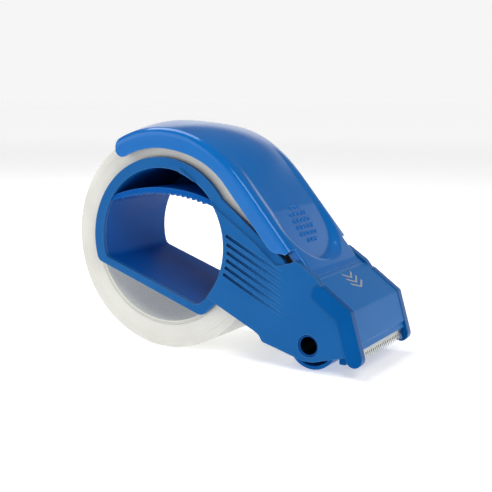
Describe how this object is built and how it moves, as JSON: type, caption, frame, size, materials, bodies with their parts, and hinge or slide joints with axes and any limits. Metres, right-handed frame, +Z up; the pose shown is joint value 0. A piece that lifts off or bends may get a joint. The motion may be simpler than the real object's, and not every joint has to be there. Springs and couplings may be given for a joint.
{
  "type": "hand-held packing tape dispenser",
  "caption": "Hand-held packing tape dispenser: loop handle inside the tape roll, hinged thumb cover that brakes the roll, applicator roller and toothed blade.",
  "frame": {"origin": "middle of the object's footprint, on the surface it stands on (roll and roller both touch it)", "axes": "+X from the roll towards the blade, +Z up, Y along the roll's axis; the open-sided hand ring's wall is on the -Y side"},
  "size_m": [0.1536, 0.0576, 0.1058],
  "materials": {
    "wall_plastic": "fine moulded texture",
    "hub_plastic": "satin moulding",
    "nose_plastic": "fine moulded texture",
    "cheek_plastic": "polished moulding",
    "cover_plastic": "polished moulding",
    "axle_plastic": "satin moulding",
    "roller_plastic": "smooth moulding",
    "blade_steel": "ground and stamped",
    "screw_steel": "zinc plated",
    "pin_steel": "drawn",
    "spring_steel": "rolled",
    "shoe_rubber": "matt",
    "tape_film": "clear film, seen as frosted",
    "tape_wound": "layered clear film",
    "core_board": "wound board"
  },
  "bodies": {
    "frame": {"side_frame": "wall_plastic", "hand_hub": "hub_plastic", "finger_grip": "hub_plastic", "pocket_web": "hub_plastic", "far_plate": "wall_plastic", "spacer_posts": "wall_plastic", "plate_screws": "screw_steel", "nose_panel": "nose_plastic", "near_cheek": "cheek_plastic", "far_cheek": "cheek_plastic", "blade": "blade_steel", "blade_clamp": "nose_plastic", "blade_rivets": "screw_steel", "tape_rest": "cheek_plastic", "roller_axle": "axle_plastic", "hinge_pin": "pin_steel", "return_spring": "spring_steel", "tape_web": "tape_film"},
    "cover": {"thumb_cover": "cover_plastic", "brake_shoe": "shoe_rubber"},
    "tape_roll": {"tape_core": "core_board", "tape_wound": "tape_wound"},
    "roller": {"applicator_roller": "roller_plastic"}
  },
  "joints": [
    {"name": "cover_hinge", "type": "hinge", "parent": "frame", "child": "cover", "pos_m": [0.0516, 0, 0.03851], "axis": [0, 1, 0], "range_deg": [-0.4, 38], "stiffness_Nm_per_rad": 0.25, "springref_deg": 2.58, "deforming": ["return_spring"]},
    {"name": "roll_spin", "type": "hinge", "parent": "frame", "child": "tape_roll", "pos_m": [-0.02601, 0, 0.0508], "axis": [0, 1, 0], "continuous": true},
    {"name": "roller_spin", "type": "hinge", "parent": "frame", "child": "roller", "pos_m": [0.0514, 0, 0.0115], "axis": [0, 1, 0], "continuous": true}
  ],
  "couplings": [
    {"joint": "roller_spin", "follows": "roll_spin", "ratio": -4.4174}
  ]
}
